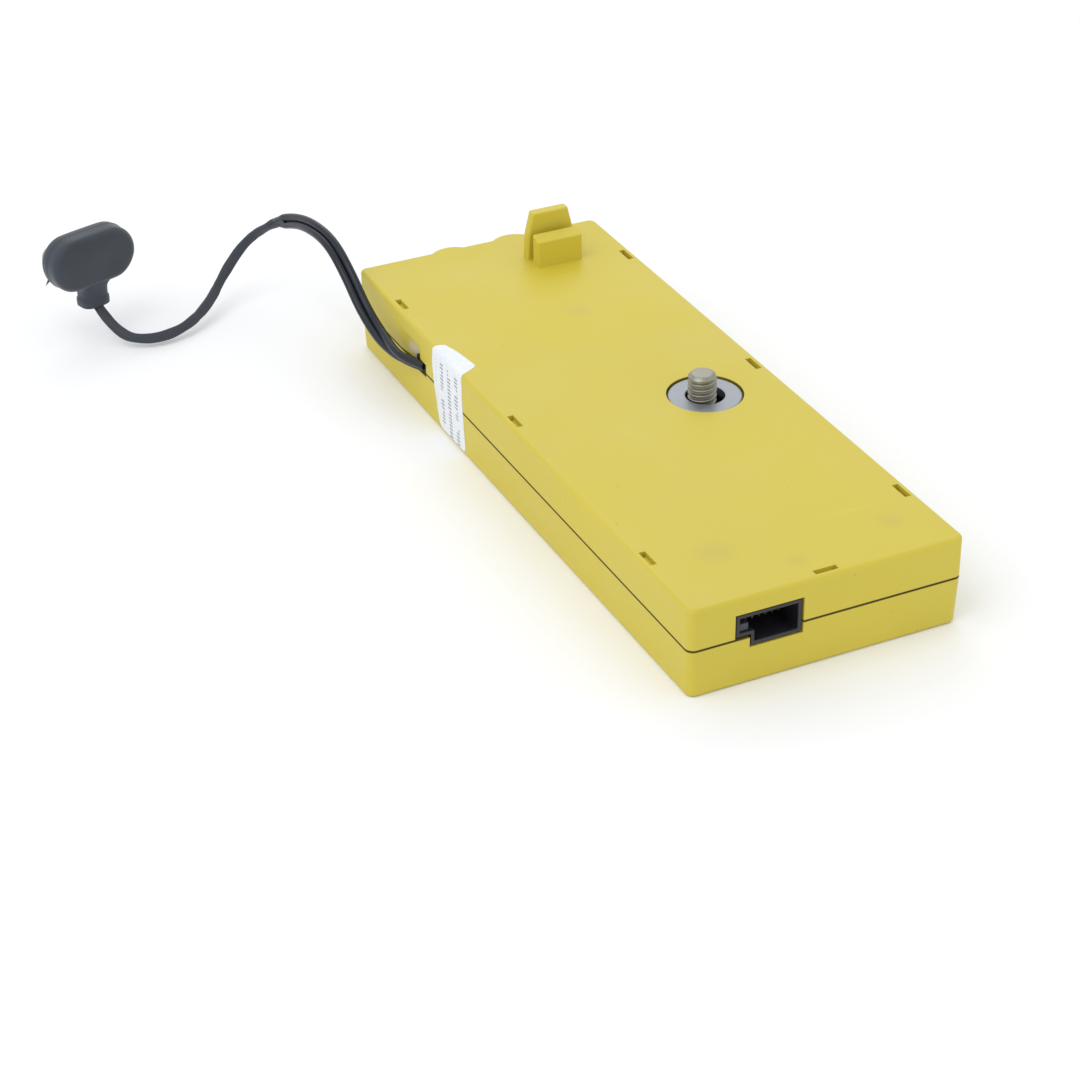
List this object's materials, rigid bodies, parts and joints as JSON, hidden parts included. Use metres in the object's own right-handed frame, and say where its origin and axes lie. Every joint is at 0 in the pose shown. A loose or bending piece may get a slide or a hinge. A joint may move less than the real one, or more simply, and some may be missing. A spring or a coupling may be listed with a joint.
{
  "type": "gnss receiver",
  "caption": "Flat two-shell receiver module with a captive mounting screw, a moulded hook, a data socket and a twin power lead ending in a press-stud plug.",
  "frame": {"origin": "middle of the case's flat face that it rests on", "axes": "+Z out of the top face along the stud, +Y along the case to the hook end, +X to the side the screw stands nearer to"},
  "size_m": [0.1292, 0.21, 0.032],
  "materials": {
    "case_abs": "fine moulded texture",
    "bush_zinc": "turned, zinc plated",
    "screw_nickel": "nickel plated",
    "spring_steel": "blued spring steel",
    "board_laminate": "solder mask",
    "connector_nylon": "moulded",
    "key_grey": "moulded",
    "contact_gold": "gold flashed",
    "tinned_can": "tinned sheet",
    "chip_epoxy": "moulded",
    "capacitor_can": "drawn",
    "patch_ceramic": "fired",
    "foam_grey": "open-cell foam",
    "coax_jacket": "extruded",
    "header_white": "moulded",
    "lead_pvc": "extruded",
    "sleeve_matte": "shrunk sleeve",
    "grommet_rubber": "moulded",
    "plug_vinyl": "soft moulding",
    "press_stud_nickel": "nickel plated",
    "seal_paper": "coated film"
  },
  "bodies": {
    "root": {"upper_shell": "case_abs", "lower_shell": "case_abs", "flanged_bush": "bush_zinc", "bush_nut": "bush_zinc", "bush_base": "bush_zinc", "main_board": "board_laminate", "antenna_board": "board_laminate", "receiver_module": "board_laminate", "board_screws": "screw_nickel", "antenna_screws": "screw_nickel", "clamp_screws": "screw_nickel", "data_connector": "connector_nylon", "connector_key": "key_grey", "connector_contacts": "contact_gold", "receiver_shield": "tinned_can", "amplifier_shield": "tinned_can", "processor": "chip_epoxy", "power_inductor": "chip_epoxy", "capacitors": "capacitor_can", "crystal": "tinned_can", "cell_holder": "connector_nylon", "backup_cell": "capacitor_can", "patch_antenna": "patch_ceramic", "foam_pad": "foam_grey", "antenna_coax": "coax_jacket", "coax_plugs": "contact_gold", "power_header": "header_white", "inner_lead": "lead_pvc", "power_lead": "lead_pvc", "lead_sleeve": "sleeve_matte", "lead_grommet": "grommet_rubber", "lead_clamp": "connector_nylon", "plug_body": "plug_vinyl", "plug_contacts": "press_stud_nickel", "seal_label": "seal_paper"},
    "screw_carrier": {"retaining_ring": "spring_steel"},
    "screw": {"mounting_screw": "screw_nickel"}
  },
  "joints": [
    {"name": "screw_drop", "type": "slide", "parent": "root", "child": "screw_carrier", "axis": [0, 0, 1], "range_m": [-0.0077, 0]},
    {"name": "screw_turn", "type": "hinge", "parent": "screw_carrier", "child": "screw", "pos_m": [0.01241, -0.00773, 0], "axis": [0, 0, 1], "continuous": true}
  ]
}
